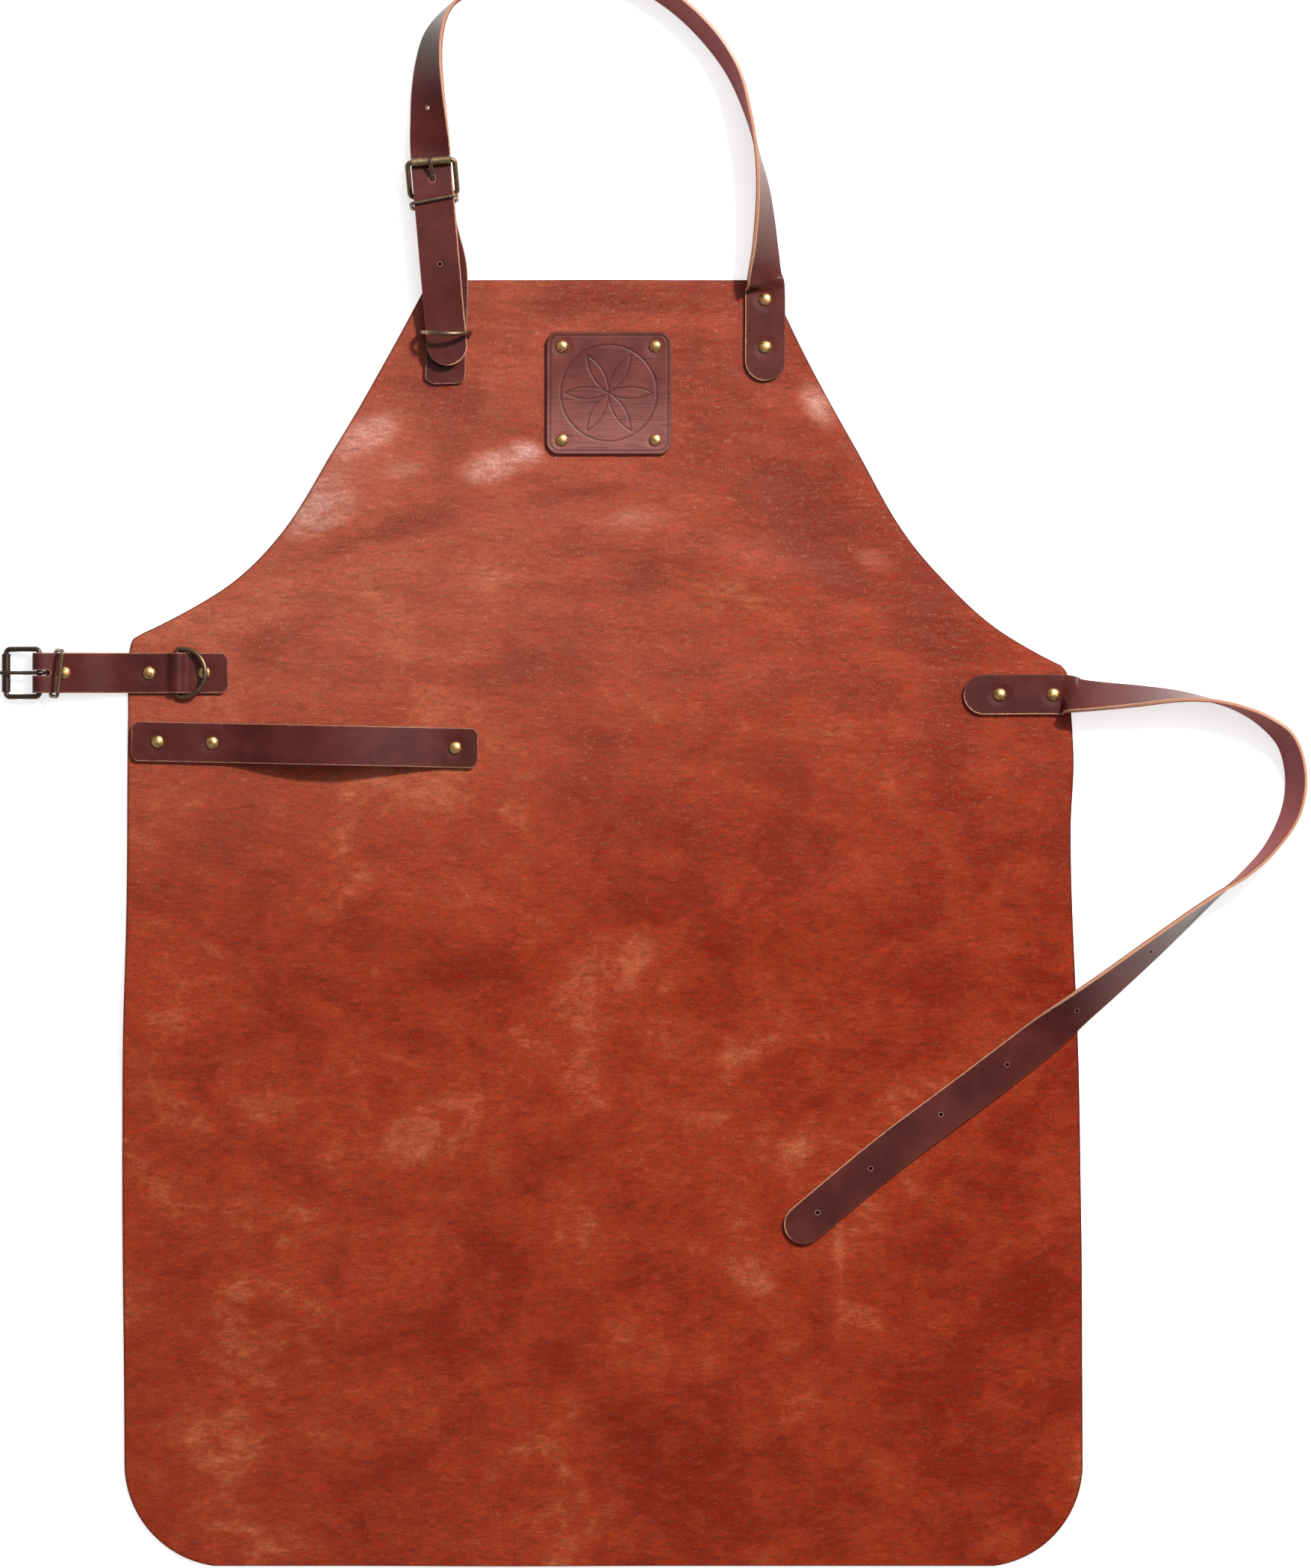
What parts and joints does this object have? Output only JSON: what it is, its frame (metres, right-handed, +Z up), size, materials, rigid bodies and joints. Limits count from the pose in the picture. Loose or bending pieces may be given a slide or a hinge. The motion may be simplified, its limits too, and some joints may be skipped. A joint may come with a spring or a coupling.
{
  "type": "leather work apron",
  "caption": "Thick leather bib apron lying flat, with riveted straps that loop over the head and round the waist into roller buckles, a towel loop, D rings and a bib patch.",
  "frame": {"origin": "centre of the bib and skirt sheet's length and width, on its underside where it lies on the surface", "axes": "+Y from the hem to the bib, +X to the right when seen from above, +Z up, off the grain side"},
  "size_m": [0.8162, 1.0098, 0.0251],
  "materials": {
    "apron_leather": "waxed, fine pebbled grain",
    "strap_leather": "smooth bridle finish",
    "patch_leather": "smooth, debossed",
    "rivet_brass": "antique brass",
    "buckle_bronze": "dark antique bronze, worn bright on edges",
    "roller_bronze": "antique bronze"
  },
  "bodies": {
    "apron": {"apron_body": "apron_leather", "loop_rivet_1": "rivet_brass", "loop_rivet_2": "rivet_brass", "loop_rivet_3": "rivet_brass", "neck_buckle_rivet_1": "rivet_brass", "neck_buckle_rivet_2": "rivet_brass", "neck_buckle_rivet_3": "rivet_brass", "neck_buckle_strap": "strap_leather", "neck_frame": "buckle_bronze", "neck_keeper": "buckle_bronze", "neck_prong": "buckle_bronze", "neck_ring": "buckle_bronze", "neck_rivet_1": "rivet_brass", "neck_rivet_2": "rivet_brass", "neck_roller": "roller_bronze", "neck_strap": "strap_leather", "patch": "patch_leather", "patch_rivet_1": "rivet_brass", "patch_rivet_2": "rivet_brass", "patch_rivet_3": "rivet_brass", "patch_rivet_4": "rivet_brass", "towel_loop": "strap_leather", "waist_buckle_rivet_1": "rivet_brass", "waist_buckle_rivet_2": "rivet_brass", "waist_buckle_rivet_3": "rivet_brass", "waist_buckle_strap": "strap_leather", "waist_rivet_1": "rivet_brass", "waist_rivet_2": "rivet_brass", "waist_strap": "strap_leather"},
    "waist_buckle_frame": {"waist_frame": "buckle_bronze"},
    "waist_buckle_prong": {"waist_prong": "buckle_bronze"},
    "waist_buckle_roller": {"waist_roller": "roller_bronze"},
    "waist_strap_keeper": {"waist_keeper": "buckle_bronze"},
    "waist_d_ring": {"waist_ring": "buckle_bronze"}
  },
  "joints": [
    {"name": "frame_swing", "type": "hinge", "parent": "apron", "child": "waist_buckle_frame", "pos_m": [-0.35218, 0.1565, 0.00715], "axis": [0, 1, 0], "range_deg": [0, 60]},
    {"name": "prong_swing", "type": "hinge", "parent": "waist_buckle_frame", "child": "waist_buckle_prong", "pos_m": [-0.35218, 0.1565, 0.00715], "axis": [0, 1, 0], "range_deg": [0, 70]},
    {"name": "roller_spin", "type": "hinge", "parent": "waist_buckle_frame", "child": "waist_buckle_roller", "pos_m": [-0.37343, 0.1565, 0.00275], "axis": [0, 1, 0], "continuous": true},
    {"name": "keeper_slide", "type": "slide", "parent": "apron", "child": "waist_strap_keeper", "axis": [1, 0, 0], "range_m": [-0.004, 0.015]},
    {"name": "ring_swing", "type": "hinge", "parent": "apron", "child": "waist_d_ring", "pos_m": [-0.26638, 0.1565, 0.0038], "axis": [0, -1, 0], "range_deg": [0, 140]}
  ]
}
